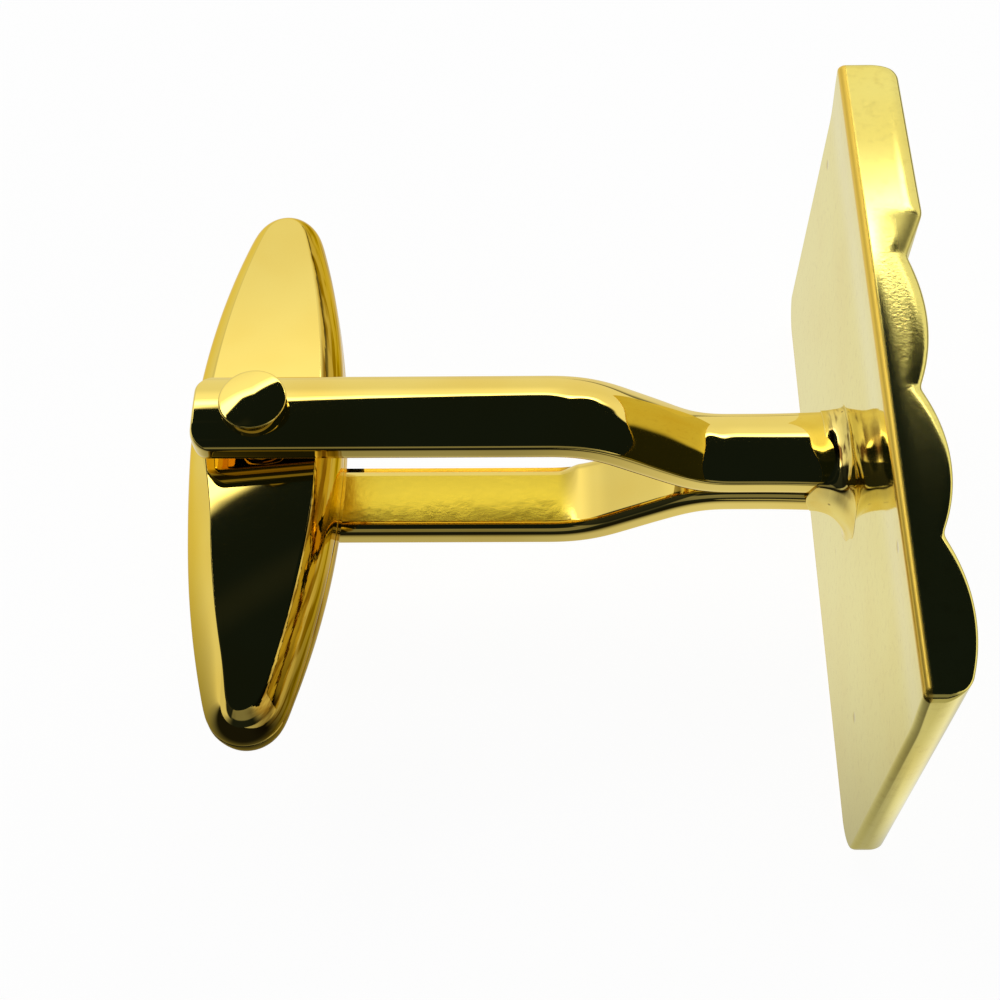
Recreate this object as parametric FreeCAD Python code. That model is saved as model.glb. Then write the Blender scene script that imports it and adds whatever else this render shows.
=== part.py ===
import FreeCAD, Part
import math
import os

# Swivel-back cufflink lying on one long edge of its face plate, in millimetres.
# Origin: centre of the plate's back face, on the post axis.
# +X leaves the plate's front, +Y runs along the plate, +Z is the swivel axis and points up.

# Face plate: a flat land, a lip and a row of scallops across the front
plate_length = 18.0
plate_width = 10.5
land_thickness = 1.47
land_length = 5.1
lip_rise = 0.05
lip_radius = 0.2
lip_run = 1.2
lip_foot = 0.95
scallop_count = 3
scallop_crest = 1.26
scallop_valley = 0.81
plate_upper_corner_radius = 0.25
plate_lower_corner_radius = 0.8
plate_edge_radius = 0.18

# Toggle: an oval bar of two soldered half shells, with crowned flanks and bevelled edges
toggle_length = 15.84
toggle_width = 3.93
toggle_thickness = 3.0
toggle_tip_thickness = 1.95
toggle_tip_radius = 1.0
toggle_edge_bevel = 0.45
seam_break = 0.05

# Hollow in the toggle for the rivet's flats and the spring
shell_flank_wall = 0.55
shell_side_wall = 0.78
shell_end_wall = 2.4
hollow_tip_radius = 0.5
hollow_length = toggle_length - 2 * shell_end_wall
hollow_width = toggle_width - 2 * shell_side_wall
hollow_height = toggle_thickness - 2 * shell_flank_wall

# Rivet: fixed in the arms, with four flats inside the toggle and a domed head at each end
pivot_distance = 15.0
rivet_diameter = 1.3
rivet_flats = 1.0
flats_end_gap = 0.1
pivot_clearance = 0.05
head_diameter = 1.7
head_rim_height = 0.3
head_dome_height = 0.1

# Leaf spring that presses on the rivet's flats
spring_thickness = 0.2
spring_side_gap = 0.15
spring_clearance = 0.03
spring_width = hollow_height - 2 * spring_side_gap

# Fork: two crowned leaves that lie together as the post and open into two arms
leaf_width = 2.2
leaf_thickness = 0.9
leaf_edge_height = 0.55
leaf_shoulder_radius = 0.15
leaf_edge_break = 0.2
toggle_side_gap = 0.25
toggle_swing_gap = 0.25
splay_length = 2.9
bend_radius = 0.5
arm_overhang = 1.6
arm_corner_radius = 0.55
arm_inner = toggle_thickness / 2 + toggle_side_gap
arm_outer = arm_inner + leaf_thickness
arm_end = pivot_distance + arm_overhang
bend_distance = pivot_distance - toggle_length / 2 - toggle_swing_gap
post_length = bend_distance - splay_length

# Solder that flares from the post onto the plate
solder_radius = 0.45

# One overrun for every cut, and the least length that counts when edges are picked
overrun = 1.0
touch = 0.01

# Degrees in a whole turn
full_turn = 360

ORIGIN = FreeCAD.Vector(0, 0, 0)
X_AXIS = FreeCAD.Vector(1, 0, 0)
Y_AXIS = FreeCAD.Vector(0, 1, 0)
Z_AXIS = FreeCAD.Vector(0, 0, 1)


def line(start, end):
    """Straight edge between two points."""
    return Part.LineSegment(start, end).toShape()


def arc(start, middle, end):
    """Round edge through three points."""
    return Part.Arc(start, middle, end).toShape()


def prism(edges, direction):
    """Solid swept straight from a closed flat outline."""
    return Part.Face(Part.Wire(edges)).extrude(direction)


def block(low, high):
    """Box between two corners."""
    size = high - low
    return Part.makeBox(size.x, size.y, size.z, low)


def rod(diameter, low, high):
    """Round bar along the swivel axis."""
    centre = FreeCAD.Vector(-pivot_distance, 0, low)
    return Part.makeCylinder(diameter / 2, high - low, centre, Z_AXIS)


def plate_front():
    """Front outline of the plate from its scalloped end to its flat end."""
    half = plate_length / 2
    lip_y = half - land_length
    foot_y = lip_y - lip_run
    pitch = (foot_y + half) / scallop_count
    lip_x = land_thickness + lip_rise

    def point(x, y):
        return FreeCAD.Vector(x, y, -plate_width / 2)

    edges = []
    for index in range(scallop_count):
        low_y = index * pitch - half
        high_y = low_y + pitch
        last = index == scallop_count - 1
        high_x = lip_foot if last else scallop_valley
        crest = point(scallop_crest, (low_y + high_y) / 2)
        edges.append(arc(point(scallop_valley, low_y), crest, point(high_x, high_y)))
    nose = lip_radius * math.cos(math.pi / 4)
    nose_start = point(lip_x - lip_radius, lip_y - lip_radius)
    nose_middle = point(lip_x - lip_radius + nose, lip_y - nose)
    edges.append(line(point(lip_foot, foot_y), nose_start))
    edges.append(arc(nose_start, nose_middle, point(lip_x, lip_y)))
    edges.append(line(point(lip_x, lip_y), point(land_thickness, half)))
    return edges


def face_plate():
    """Plate with a flat back, a scalloped front and rounded corners."""
    front = plate_front()
    half = plate_length / 2
    low = FreeCAD.Vector(0, -half, -plate_width / 2)
    high = FreeCAD.Vector(0, half, -plate_width / 2)
    ends = [line(front[-1].Vertexes[-1].Point, high), line(high, low), line(low, front[0].Vertexes[0].Point)]
    solid = prism(front + ends, Z_AXIS * plate_width)
    solid = round_corners(solid, 1, plate_upper_corner_radius)
    solid = round_corners(solid, -1, plate_lower_corner_radius)
    rim = [edge for edge in solid.Edges if edge.BoundBox.XMax < touch]
    return solid.makeFillet(plate_edge_radius, rim)


def round_corners(solid, side, radius):
    """Plate with the two corners on its upper side, 1, or lower side, -1, rounded."""
    corners = [edge for edge in solid.Edges if is_plate_corner(edge, side)]
    return solid.makeFillet(radius, corners)


def is_plate_corner(edge, side):
    """True for the two short edges through the plate's thickness on one side."""
    box = edge.BoundBox
    at_side = abs(box.ZMin - side * plate_width / 2) < touch
    return at_side and max(box.YLength, box.ZLength) < touch < box.XLength


def leaf_section(place, outward):
    """Crowned outline of a leaf: flat inside with broken edges, one arc with round shoulders outside."""
    half = leaf_width / 2
    drop = leaf_thickness - leaf_edge_height
    crown = (half ** 2 + drop ** 2) / (2 * drop)
    low = leaf_thickness - crown
    side = half - leaf_shoulder_radius
    level = low + math.sqrt((crown - leaf_shoulder_radius) ** 2 - side ** 2)
    turn = math.atan2(side, level - low)

    def point(y, n):
        return place + Y_AXIS * y + outward * n

    def crown_end(sign):
        return point(sign * crown * math.sin(turn), low + crown * math.cos(turn))

    def shoulder(sign):
        middle = (turn + math.pi / 2) / 2
        y = side + leaf_shoulder_radius * math.sin(middle)
        n = level + leaf_shoulder_radius * math.cos(middle)
        return arc(point(sign * half, level), point(sign * y, n), crown_end(sign))

    foot = half - leaf_edge_break
    edges = [line(point(-foot, 0), point(foot, 0)), line(point(foot, 0), point(half, leaf_edge_break))]
    edges += [line(point(half, leaf_edge_break), point(half, level)), shoulder(1)]
    edges += [arc(crown_end(1), point(0, leaf_thickness), crown_end(-1)), shoulder(-1)]
    edges.append(line(point(-half, level), point(-half, leaf_edge_break)))
    edges.append(line(point(-half, leaf_edge_break), point(-foot, 0)))
    return Part.Wire(edges)


def bend(before, corner, after, radius):
    """Arc of a given radius that rounds one corner of a route."""
    back = (before - corner).normalize()
    ahead = (after - corner).normalize()
    half_angle = back.getAngle(ahead) / 2
    reach = radius / math.tan(half_angle)
    inward = (back + ahead).normalize()
    middle = corner + inward * (radius / math.sin(half_angle) - radius)
    return corner + back * reach, middle, corner + ahead * reach


def fork_leaf(side):
    """One leaf of the fork; side is 1 for the upper one and -1 for the lower one."""
    end = FreeCAD.Vector(-arm_end, 0, side * arm_inner)
    knee = FreeCAD.Vector(-bend_distance, 0, side * arm_inner)
    meet = FreeCAD.Vector(-post_length, 0, 0)
    first = bend(end, knee, meet, bend_radius)
    second = bend(knee, meet, ORIGIN, bend_radius + leaf_thickness)
    route = [line(end, first[0]), arc(*first), line(first[2], second[0]), arc(*second)]
    route.append(line(second[2], ORIGIN))
    leaf = Part.Wire(route).makePipeShell([leaf_section(end, Z_AXIS * side)], True, True)
    reach = arm_outer + overrun
    return leaf.common(arm_outline(reach)).cut(rod(rivet_diameter, -reach, reach))


def arm_outline(reach):
    """Upright block with the round-cornered end that both arms share."""
    low = FreeCAD.Vector(-arm_end, -leaf_width / 2, -reach)
    solid = block(low, FreeCAD.Vector(0, leaf_width / 2, reach))
    ends = [edge for edge in solid.Edges if is_upright(edge) and edge.BoundBox.XMax < touch - arm_end]
    return solid.makeFillet(arm_corner_radius, ends)


def is_upright(edge):
    """True for a straight edge along Z."""
    box = edge.BoundBox
    return max(box.XLength, box.YLength) < touch < box.ZLength


def solder_fillet():
    """Concave ring of solder between the post and the plate."""
    post = post_prism()
    reach = leaf_width + solder_radius
    base = block(FreeCAD.Vector(0, -reach, -reach), FreeCAD.Vector(overrun, reach, reach))
    joined = post.fuse(base).removeSplitter()
    foot = [edge for edge in joined.Edges if is_post_foot(edge, reach)]
    return joined.makeFillet(solder_radius, foot).cut(post).cut(base)


def is_post_foot(edge, reach):
    """True for the edges where the post meets the plate."""
    box = edge.BoundBox
    inside = max(abs(box.YMin), abs(box.YMax), abs(box.ZMin), abs(box.ZMax)) < reach - solder_radius
    return inside and max(abs(box.XMin), abs(box.XMax)) < touch


def post_prism():
    """Outline of the two leaves lying together, swept from the bend to the plate."""
    upper = leaf_section(FreeCAD.Vector(-post_length, 0, 0), Z_AXIS)
    lower = leaf_section(FreeCAD.Vector(-post_length, 0, 0), -Z_AXIS)
    sweep = X_AXIS * post_length
    halves = [Part.Face(wire).extrude(sweep) for wire in (upper, lower)]
    filler_low = FreeCAD.Vector(-post_length, -leaf_width / 2, -leaf_edge_break)
    filler_high = FreeCAD.Vector(0, leaf_width / 2, leaf_edge_break)
    return halves[0].fuse(halves[1]).fuse(block(filler_low, filler_high)).removeSplitter()


def pivot_rivet(leaves):
    """Pin with four flats inside the toggle and heads peened onto the arms."""
    pin = rod(rivet_diameter, -arm_outer, arm_outer)
    flats_half = hollow_height / 2 - flats_end_gap
    waste = rod(rivet_diameter + overrun, -flats_half, flats_half)
    flat = rivet_flats / 2
    core_low = FreeCAD.Vector(-pivot_distance - flat, -flat, -flats_half)
    core_high = FreeCAD.Vector(flat - pivot_distance, flat, flats_half)
    pin = pin.cut(waste.cut(block(core_low, core_high)))
    for side in (1, -1):
        pin = pin.fuse(rivet_head(side))
    for leaf in leaves:
        pin = pin.cut(leaf)
    return pin.removeSplitter()


def rivet_head(side):
    """Low domed button whose skirt follows the crown of the arm."""
    radius = head_diameter / 2
    skirt = arm_inner + leaf_edge_height
    rim = arm_outer + head_rim_height
    top = rim + head_dome_height

    def point(r, z):
        return FreeCAD.Vector(r - pivot_distance, 0, side * z)

    sphere = (radius ** 2 + head_dome_height ** 2) / (2 * head_dome_height)
    half_turn = math.asin(radius / sphere) / 2
    on_dome = point(sphere * math.sin(half_turn), top - sphere * (1 - math.cos(half_turn)))
    edges = [line(point(0, skirt), point(radius, skirt)), line(point(radius, skirt), point(radius, rim))]
    edges += [arc(point(radius, rim), on_dome, point(0, top)), line(point(0, top), point(0, skirt))]
    return Part.Face(Part.Wire(edges)).revolve(point(0, 0), Z_AXIS, full_turn)


def oval(length, width, tip_radius, z):
    """Edges of an oval of two long arcs and two tip arcs about the pivot, and the long arcs' radius."""
    half_length = length / 2
    half_width = width / 2
    tip_y = half_length - tip_radius
    side = (tip_y ** 2 + half_width ** 2 - tip_radius ** 2) / (2 * (half_width - tip_radius))
    reach = side - half_width
    span = side - tip_radius
    touch_x = tip_radius * reach / span
    touch_y = tip_y + tip_radius * tip_y / span

    def point(x, y):
        return FreeCAD.Vector(x - pivot_distance, y, z)

    edges = [arc(point(touch_x, -touch_y), point(half_width, 0), point(touch_x, touch_y))]
    edges.append(arc(point(touch_x, touch_y), point(0, half_length), point(-touch_x, touch_y)))
    edges.append(arc(point(-touch_x, touch_y), point(-half_width, 0), point(-touch_x, -touch_y)))
    edges.append(arc(point(-touch_x, -touch_y), point(0, -half_length), point(touch_x, -touch_y)))
    return edges, side


def toggle_bar():
    """Whole outer form of the toggle: an oval with crowned flanks and bevelled edges."""
    edges, _ = oval(toggle_length, toggle_width, toggle_tip_radius, -toggle_thickness)
    solid = prism(edges, Z_AXIS * (2 * toggle_thickness))
    tip_y = toggle_length / 2
    tip_z = toggle_tip_thickness / 2
    left = -pivot_distance - toggle_width

    def point(y, z):
        return FreeCAD.Vector(left, y, z)

    crown = [arc(point(-tip_y, tip_z), point(0, toggle_thickness / 2), point(tip_y, tip_z))]
    crown.append(line(point(tip_y, tip_z), point(tip_y, -tip_z)))
    crown.append(arc(point(tip_y, -tip_z), point(0, -toggle_thickness / 2), point(-tip_y, -tip_z)))
    crown.append(line(point(-tip_y, -tip_z), point(-tip_y, tip_z)))
    solid = solid.common(prism(crown, X_AXIS * (2 * toggle_width)))
    flank_edges = [edge for edge in solid.Edges if abs(edge.BoundBox.ZMax + edge.BoundBox.ZMin) > tip_z]
    return solid.makeChamfer(toggle_edge_bevel, flank_edges)


def toggle_shell(bar, side):
    """Half of the hollow toggle, with a bore for the rivet and a fine break along the seam."""
    reach = toggle_length
    low = FreeCAD.Vector(-pivot_distance - reach, -reach, 0)
    high = FreeCAD.Vector(reach - pivot_distance, reach, reach)
    half = bar.common(block(low, high))
    rim = [edge for edge in half.Edges if edge.BoundBox.ZMax < touch]
    half = half.makeChamfer(seam_break, rim)
    edges, _ = oval(hollow_length, hollow_width, hollow_tip_radius, -hollow_height / 2)
    half = half.cut(prism(edges, Z_AXIS * hollow_height))
    half = half.cut(rod(rivet_diameter + 2 * pivot_clearance, -toggle_thickness, toggle_thickness))
    if side < 0:
        half = half.mirror(ORIGIN, Z_AXIS)
    return half


def detent_spring():
    """Straight leaf between the hollow's wall and the rivet's flat."""
    near = rivet_flats / 2 + spring_clearance
    far = near + spring_thickness
    _, side = oval(hollow_length, hollow_width, hollow_tip_radius, 0)
    wall_drop = hollow_width / 2 - far - spring_clearance
    half_length = math.sqrt(side ** 2 - (side - wall_drop) ** 2)
    low = FreeCAD.Vector(-pivot_distance - far, -half_length, -spring_width / 2)
    high = FreeCAD.Vector(-pivot_distance - near, half_length, spring_width / 2)
    return block(low, high)


def main():
    """Build every piece and write one file each."""
    upper = fork_leaf(1)
    lower = fork_leaf(-1)
    bar = toggle_bar()
    pieces = {
        "face_plate": face_plate(),
        "fork_leaf_upper": upper,
        "fork_leaf_lower": lower,
        "solder_fillet": solder_fillet(),
        "pivot_rivet": pivot_rivet([upper, lower]),
        "toggle_shell_upper": toggle_shell(bar, 1),
        "toggle_shell_lower": toggle_shell(bar, -1),
        "detent_spring": detent_spring(),
    }
    os.makedirs("parts", exist_ok=True)
    for name, shape in pieces.items():
        box = shape.BoundBox
        print(name, shape.isValid(), len(shape.Solids), round(shape.Volume, 3),
              [round(v, 3) for v in (box.XMin, box.XMax, box.YMin, box.YMax, box.ZMin, box.ZMax)])
        shape.exportStep(os.path.join("parts", name + ".step"))


main()
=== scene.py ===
"""Looks of a gold-plated swivel-back cufflink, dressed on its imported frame.

Sizes are in millimetres and in the frame's axes: the origin is the centre of the
plate's back, +X leaves its front, +Y runs along it and +Z is the swivel axis.
"""

import logging
import math
from dataclasses import dataclass
from enum import Enum
from typing import Any, Optional, Sequence, Union

import bmesh
import bpy
import numpy as np
from mathutils import Matrix, Vector, noise


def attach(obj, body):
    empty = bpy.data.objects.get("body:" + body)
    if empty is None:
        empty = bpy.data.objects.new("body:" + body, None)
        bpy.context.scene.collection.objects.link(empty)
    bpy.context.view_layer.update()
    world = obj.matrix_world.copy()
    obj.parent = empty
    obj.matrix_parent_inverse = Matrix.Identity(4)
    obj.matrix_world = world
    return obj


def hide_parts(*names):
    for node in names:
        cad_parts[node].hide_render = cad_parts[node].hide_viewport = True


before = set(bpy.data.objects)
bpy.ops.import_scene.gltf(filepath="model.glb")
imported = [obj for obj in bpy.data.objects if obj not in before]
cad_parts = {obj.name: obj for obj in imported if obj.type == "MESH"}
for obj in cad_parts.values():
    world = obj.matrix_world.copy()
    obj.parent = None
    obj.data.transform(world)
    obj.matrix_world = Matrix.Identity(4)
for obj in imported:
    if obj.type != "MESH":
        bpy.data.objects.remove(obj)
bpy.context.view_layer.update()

LOG = logging.getLogger("cufflink")
MM = 0.001
PIVOT = 15.0
FORK_BODY = "face_and_fork"
TOGGLE_BODY = "toggle"
# Mesh attribute for the finish's grain and stain, which on the toggle carry a painted reflection of the
# cuff.
GRAIN = "grain"
WHITE = (1.0, 1.0, 1.0, 1.0)

Colour = tuple[float, float, float]
Triple = tuple[float, float, float]
# Two coordinates, or the two values between which something rises, falls or fades.
Pair = tuple[float, float]
Operand = Union["Field", float]


class Slot(Enum):
    """Material slots of the record."""

    FACE = "face_gold"
    POLISHED = "polished_gold"
    SOLDER = "solder_gold"


class Field:
    """One node socket that can be used in a Python expression."""

    def __init__(self, board: "Board", socket: bpy.types.NodeSocket) -> None:
        """Keep the socket and the board that it is on."""
        self.board = board
        self.socket = socket

    def math(self, operation: str, *others: Operand) -> "Field":
        """Apply one operation of the Math node.

        Args:
            operation: name of the Math node's operation.
            others: further operands, as sockets or plain numbers.

        Returns:
            The node's result.
        """
        inputs = dict(enumerate((self, *others)))
        return self.board.node("ShaderNodeMath", {"operation": operation}, inputs)

    def __add__(self, other: Operand) -> "Field":
        """Sum."""
        return self.math("ADD", other)

    __radd__ = __add__

    def __sub__(self, other: Operand) -> "Field":
        """Difference."""
        return self.math("SUBTRACT", other)

    def __rsub__(self, other: float) -> "Field":
        """Difference from a number."""
        return self.math("MULTIPLY_ADD", -1.0, other)

    def __mul__(self, other: Operand) -> "Field":
        """Product."""
        return self.math("MULTIPLY", other)

    __rmul__ = __mul__

    def __truediv__(self, other: Operand) -> "Field":
        """Quotient."""
        return self.math("DIVIDE", other)

    def __neg__(self) -> "Field":
        """Opposite."""
        return self.math("MULTIPLY", -1.0)

    def __abs__(self) -> "Field":
        """Size without the sign."""
        return self.math("ABSOLUTE")

    def step(self, low: Operand, high: Operand) -> "Field":
        """Smooth step from 0 at low to 1 at high."""
        settings = {"interpolation_type": "SMOOTHSTEP"}
        inputs = {"Value": self, "From Min": low, "From Max": high}
        return self.board.node("ShaderNodeMapRange", settings, inputs)

    def within(self, low: float, high: float, soft: float) -> "Field":
        """1 between two values and 0 outside them, with soft edges."""
        return self.step(low - soft, low + soft) * (1.0 - self.step(high - soft, high + soft))

    def sibling(self, name: str) -> "Field":
        """Another output of the same node."""
        return Field(self.board, self.socket.node.outputs[name])


class Board:
    """Node tree that is written with one method, and short names for what is written often."""

    def __init__(self, tree: bpy.types.NodeTree) -> None:
        """Keep the tree to write in."""
        self.tree = tree

    def node(self, kind: str, settings: Optional[dict[str, Any]] = None,
             inputs: Optional[dict[Any, Any]] = None, output: Any = None) -> Field:
        """Add a node.

        Args:
            kind: type name of the node.
            settings: properties to set on it.
            inputs: values or fields for its sockets, by name or index; a list gives one socket several.
            output: name or index of the output to return, or None for the first that is on.

        Returns:
            The output as a field.
        """
        node = self.tree.nodes.new(kind)
        for name, value in (settings or {}).items():
            setattr(node, name, value)
        for name, value in (inputs or {}).items():
            socket = self.pick(node.inputs, name)
            for item in value if isinstance(value, list) else [value]:
                if isinstance(item, Field):
                    self.tree.links.new(item.socket, socket)
                else:
                    socket.default_value = item
        if output is not None:
            return Field(self, self.pick(node.outputs, output))
        return Field(self, next((socket for socket in node.outputs if socket.enabled), None))

    @staticmethod
    def pick(sockets: Any, name: Any) -> bpy.types.NodeSocket:
        """First socket that is on with a name, or the one at an index."""
        if isinstance(name, int):
            return sockets[name]
        return next(socket for socket in sockets if socket.name == name and socket.enabled)

    def vector(self, operation: str, first: Field, second: Any) -> Field:
        """One operation of the Vector Math node on two vectors."""
        return self.node("ShaderNodeVectorMath", {"operation": operation}, {0: first, 1: second})

    def scaled(self, vector: Field, factor: Operand) -> Field:
        """Vector times a number."""
        return self.node("ShaderNodeVectorMath", {"operation": "SCALE"}, {0: vector, "Scale": factor})

    def axes(self, vector: Field) -> list[Field]:
        """X, Y and Z of a vector."""
        first = self.node("ShaderNodeSeparateXYZ", None, {0: vector}, "X")
        return [first.sibling(name) for name in "XYZ"]

    def place(self) -> Field:
        """Object coordinates in millimetres."""
        return self.scaled(self.node("ShaderNodeTexCoord", output="Object"), 1.0 / MM)

    def mix(self, share: Field, first: Any, second: Any) -> Field:
        """Blend of two colours: the first where the share is 0 and the second where it is 1."""
        return self.node("ShaderNodeMix", {"data_type": "RGBA"}, {0: share, 6: first, 7: second}, 2)

    def noise(self, place: Field, scale: float, detail: float) -> Field:
        """Noise from 0 to 1."""
        return self.node("ShaderNodeTexNoise", None, {"Vector": place, "Scale": scale, "Detail": detail})

    def bump(self, height: Field, depth: float, normal: Optional[Field] = None) -> Field:
        """Relief of a given depth in millimetres, over another normal if there is one."""
        inputs = {"Height": height, "Distance": depth * MM, "Strength": 1.0}
        if normal is not None:
            inputs["Normal"] = normal
        return self.node("ShaderNodeBump", None, inputs)

    def close(self, geometry: Field, finish: Field) -> bpy.types.NodeTree:
        """End a geometry tree by setting the material.

        Args:
            geometry: what the tree gives.
            finish: its material.

        Returns:
            The whole tree.
        """
        done = self.node("GeometryNodeSetMaterial", None, {"Geometry": geometry, "Material": finish})
        self.node("NodeGroupOutput", None, {0: done})
        return self.tree


def opaque(colour: Colour) -> tuple[float, float, float, float]:
    """Colour with full alpha."""
    return (*colour, 1.0)


def new_material(name: str) -> tuple[bpy.types.Material, Board]:
    """Empty material and the board to write it on."""
    material = bpy.data.materials.new(name)
    material.use_nodes = True
    material.node_tree.nodes.clear()
    return material, Board(material.node_tree)


@dataclass(frozen=True)
class GoldFinish:
    """Plated gold with the marks that polishing leaves, and on the toggle a painted reflection in their
    colours.

    Lengths are in millimetres and scales are per millimetre. The grain and its
    stain show only where the mesh's "grain" attribute says so. On the toggle, the grain colour
    and the stain streaks are a painted reflection of the cuff on the edge that faces it.
    """

    colour: Colour
    deep: Colour
    deep_noise: Pair = (0.25, 1.0)
    # Stain colour and streak share: real stain, and on the toggle a painted reflection of the cuff.
    stain_and_reflection: Colour = (0.4, 0.22, 0.02)
    stain_and_reflection_share: float = 0.0
    stain_noise: Pair = (0.46, 0.62)
    roughness: float = 0.015
    roughness_spread: float = 0.02
    wave_scale: float = 0.4
    wave_depth: float = 0.002
    grain_scale: Triple = (14.0, 14.0, 14.0)
    grain_depth: float = 0.002
    grain_roughness: float = 0.0
    # Grain colour: real matt grain on the leaves, painted reflection of the cuff on the toggle.
    grain_and_reflection_colour: Optional[Colour] = None
    mottle_share: float = 0.0
    mottle_scale: float = 4.5
    mottle_noise: Pair = (0.48, 0.78)
    edge_colour: Optional[Colour] = None
    edge_roughness: float = 0.0
    edge_x: Pair = (0.04, 0.12)
    edge_z: Pair = (4.98, 5.1)
    pit_scale: float = 0.4
    pit_depth: float = 0.0
    pit_cell: Pair = (0.03, 0.1)
    pit_stain_share: float = 0.6
    pit_x: Pair = (0.1, 0.2)
    pit_z: Pair = (4.6, 4.8)
    tint: Colour = (1.0, 1.0, 1.0)

    def material(self, name: str) -> bpy.types.Material:
        """Build the finish.

        Args:
            name: name of the material.

        Returns:
            A new material.
        """
        material, board = new_material(name)
        place = board.place()
        share = board.node("ShaderNodeAttribute", {"attribute_name": GRAIN}, None, "Fac")
        cloud = board.noise(place, self.wave_scale, detail=2.0)
        grain = board.noise(board.vector("MULTIPLY", place, self.grain_scale), 1.0, detail=3.0)
        colour = board.mix(cloud.step(*self.deep_noise), opaque(self.colour), opaque(self.deep))
        rough = self.roughness + self.roughness_spread * cloud + share * self.grain_roughness
        if self.mottle_share:
            specks = board.noise(place, self.mottle_scale, detail=5.0).step(*self.mottle_noise)
            colour = board.mix(specks * self.mottle_share, colour, opaque(self.stain_and_reflection))
        # Grain colour and stain streaks: real marks on the leaves and solder, painted reflection of the
        # cuff on the toggle.
        if self.grain_and_reflection_colour:
            colour = board.mix(share, colour, opaque(self.grain_and_reflection_colour))
        if self.stain_and_reflection_share:
            stain_and_reflection_streak = grain.step(*self.stain_noise) * share * self.stain_and_reflection_share
            colour = board.mix(stain_and_reflection_streak, colour, opaque(self.stain_and_reflection))
        if self.edge_colour:
            worn = self.worn_edge(place)
            colour = board.mix(worn, colour, opaque(self.edge_colour))
            rough = rough + worn * self.edge_roughness
        normal = board.bump(cloud, self.wave_depth)
        normal = board.bump(grain * share.math("MINIMUM", 1.0), self.grain_depth, normal)
        if self.pit_depth:
            pits = self.pits(place)
            colour = board.mix(pits * self.pit_stain_share, colour, opaque(self.stain_and_reflection))
            normal = board.bump(1.0 - pits, self.pit_depth, normal)
        metal = board.node("ShaderNodeBsdfPrincipled", None, {
            "Base Color": colour, "Metallic": 1.0, "Roughness": rough, "Normal": normal,
            "Specular Tint": opaque(self.tint)})
        board.node("ShaderNodeOutputMaterial", None, {"Surface": metal})
        return material

    def worn_edge(self, place: Field) -> Field:
        """Back edges along the plate's long sides, where the plating is worn: 1 on them and 0 elsewhere."""
        x, _, z = place.board.axes(place)
        return abs(z).step(*self.edge_z) * (1.0 - x.step(*self.edge_x))

    def pits(self, place: Field) -> Field:
        """Few small round pits, clear of the plate's front and edges: 1 at their middle and 0 outside."""
        cells = place.board.node("ShaderNodeTexVoronoi", None, {"Vector": place, "Scale": self.pit_scale})
        x, _, z = place.board.axes(place)
        pits = (1.0 - cells.step(*self.pit_cell)) * (1.0 - x.step(*self.pit_x))
        return pits * (1.0 - abs(z).step(*self.pit_z))


@dataclass(frozen=True)
class SteelFinish:
    """Bright spring steel with fine lines from rolling."""

    colour: Colour
    roughness: float
    roughness_spread: float = 0.2
    line_scale: Triple = (40.0, 0.5, 40.0)

    def material(self, name: str) -> bpy.types.Material:
        """Build the finish.

        Args:
            name: name of the material.

        Returns:
            A new material.
        """
        material, board = new_material(name)
        lines = board.noise(board.vector("MULTIPLY", board.place(), self.line_scale), 1.0, detail=2.0)
        metal = board.node("ShaderNodeBsdfPrincipled", None, {
            "Base Color": opaque(self.colour), "Metallic": 1.0,
            "Roughness": self.roughness + self.roughness_spread * lines})
        board.node("ShaderNodeOutputMaterial", None, {"Surface": metal})
        return material


def mesh_object(name: str, points: np.ndarray, faces: Sequence[Sequence[int]]) -> bpy.types.Object:
    """Make a smooth mesh object.

    Args:
        name: name of the object.
        points: vertices in millimetres, one per row.
        faces: vertex numbers of each face.

    Returns:
        The object, linked to the scene.
    """
    mesh = bpy.data.meshes.new(name)
    mesh.from_pydata((np.asarray(points) * MM).tolist(), [], [list(face) for face in faces])
    mesh.polygons.foreach_set("use_smooth", [True] * len(mesh.polygons))
    mesh.update()
    piece = bpy.data.objects.new(name, mesh)
    bpy.context.scene.collection.objects.link(piece)
    return piece


def loft(name: str, rows: np.ndarray, ring: bool = False, caps: bool = False,
         grain: Optional[np.ndarray] = None) -> bpy.types.Object:
    """Skin a stack of closed loops.

    Args:
        name: name of the object.
        rows: points in millimetres, as rows by columns by 3.
        ring: True if the last row joins the first one.
        caps: True to close both ends with one face each.
        grain: how much of the finish's grain each point shows, and on the toggle its painted reflection, as
            rows by columns.

    Returns:
        The object, with its faces outward where the rows run that way.
    """
    rows = np.asarray(rows, dtype=float)
    count, size = rows.shape[:2]
    index = np.arange(count * size).reshape(count, size)
    ahead = np.roll(index, -1, axis=1)
    low, high = (index, np.roll(index, -1, axis=0)) if ring else (index[:-1], index[1:])
    low_ahead, high_ahead = (ahead, np.roll(ahead, -1, axis=0)) if ring else (ahead[:-1], ahead[1:])
    quads = np.stack([low, low_ahead, high_ahead, high], axis=-1).reshape(-1, 4).tolist()
    if caps:
        quads += [index[0][::-1].tolist(), index[-1].tolist()]
    piece = mesh_object(name, rows.reshape(-1, 3), quads)
    if grain is not None:
        share = piece.data.attributes.new(GRAIN, "FLOAT", "POINT")
        share.data.foreach_set("value", np.asarray(grain, dtype=np.float32).ravel())
    return piece


def weld(piece: bpy.types.Object, reach: float = 1e-4) -> None:
    """Join vertices that lie together and turn all faces outward.

    Args:
        piece: mesh object to mend.
        reach: distance in millimetres within which vertices are one.
    """
    work = bmesh.new()
    work.from_mesh(piece.data)
    bmesh.ops.remove_doubles(work, verts=work.verts, dist=reach * MM)
    bmesh.ops.dissolve_degenerate(work, edges=work.edges, dist=reach * MM)
    bmesh.ops.recalc_face_normals(work, faces=work.faces)
    work.to_mesh(piece.data)
    work.free()
    piece.data.update()


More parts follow.
